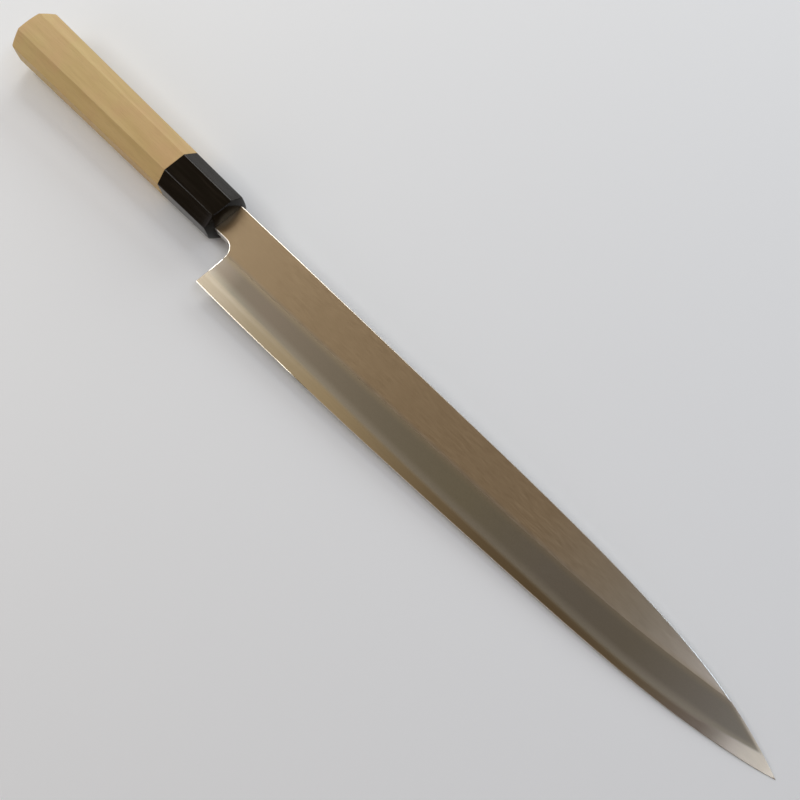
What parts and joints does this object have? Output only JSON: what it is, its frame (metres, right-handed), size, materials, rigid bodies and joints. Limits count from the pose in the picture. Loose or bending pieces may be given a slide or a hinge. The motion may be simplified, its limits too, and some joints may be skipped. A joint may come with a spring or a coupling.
{
  "type": "yanagiba knife",
  "caption": "Long slicing knife with a slim single-bevel blade of two forge-welded metals, a black horn ferrule and an eight-sided pale wood handle.",
  "frame": {"origin": "under the middle of the length and the width, level with the lower face of the handle's butt", "axes": "+X from the butt to the tip, +Y from the cutting edge to the spine, +Z out of the ground face; the flat back faces down"},
  "size_m": [0.4512, 0.0408, 0.0203],
  "materials": {
    "soft_iron": "satin, polished lengthwise, with a hazy grey band on the bevel",
    "hard_steel": "bright, stone polished",
    "horn": "buffed to a soft shine",
    "magnolia_wood": "sanded smooth, unlacquered",
    "resin": "set in place, hidden"
  },
  "bodies": {
    "root": {"blade_iron": "soft_iron", "edge_steel": "hard_steel", "ferrule": "horn", "handle_grip": "magnolia_wood", "tang_bed": "resin"}
  },
  "joints": []
}
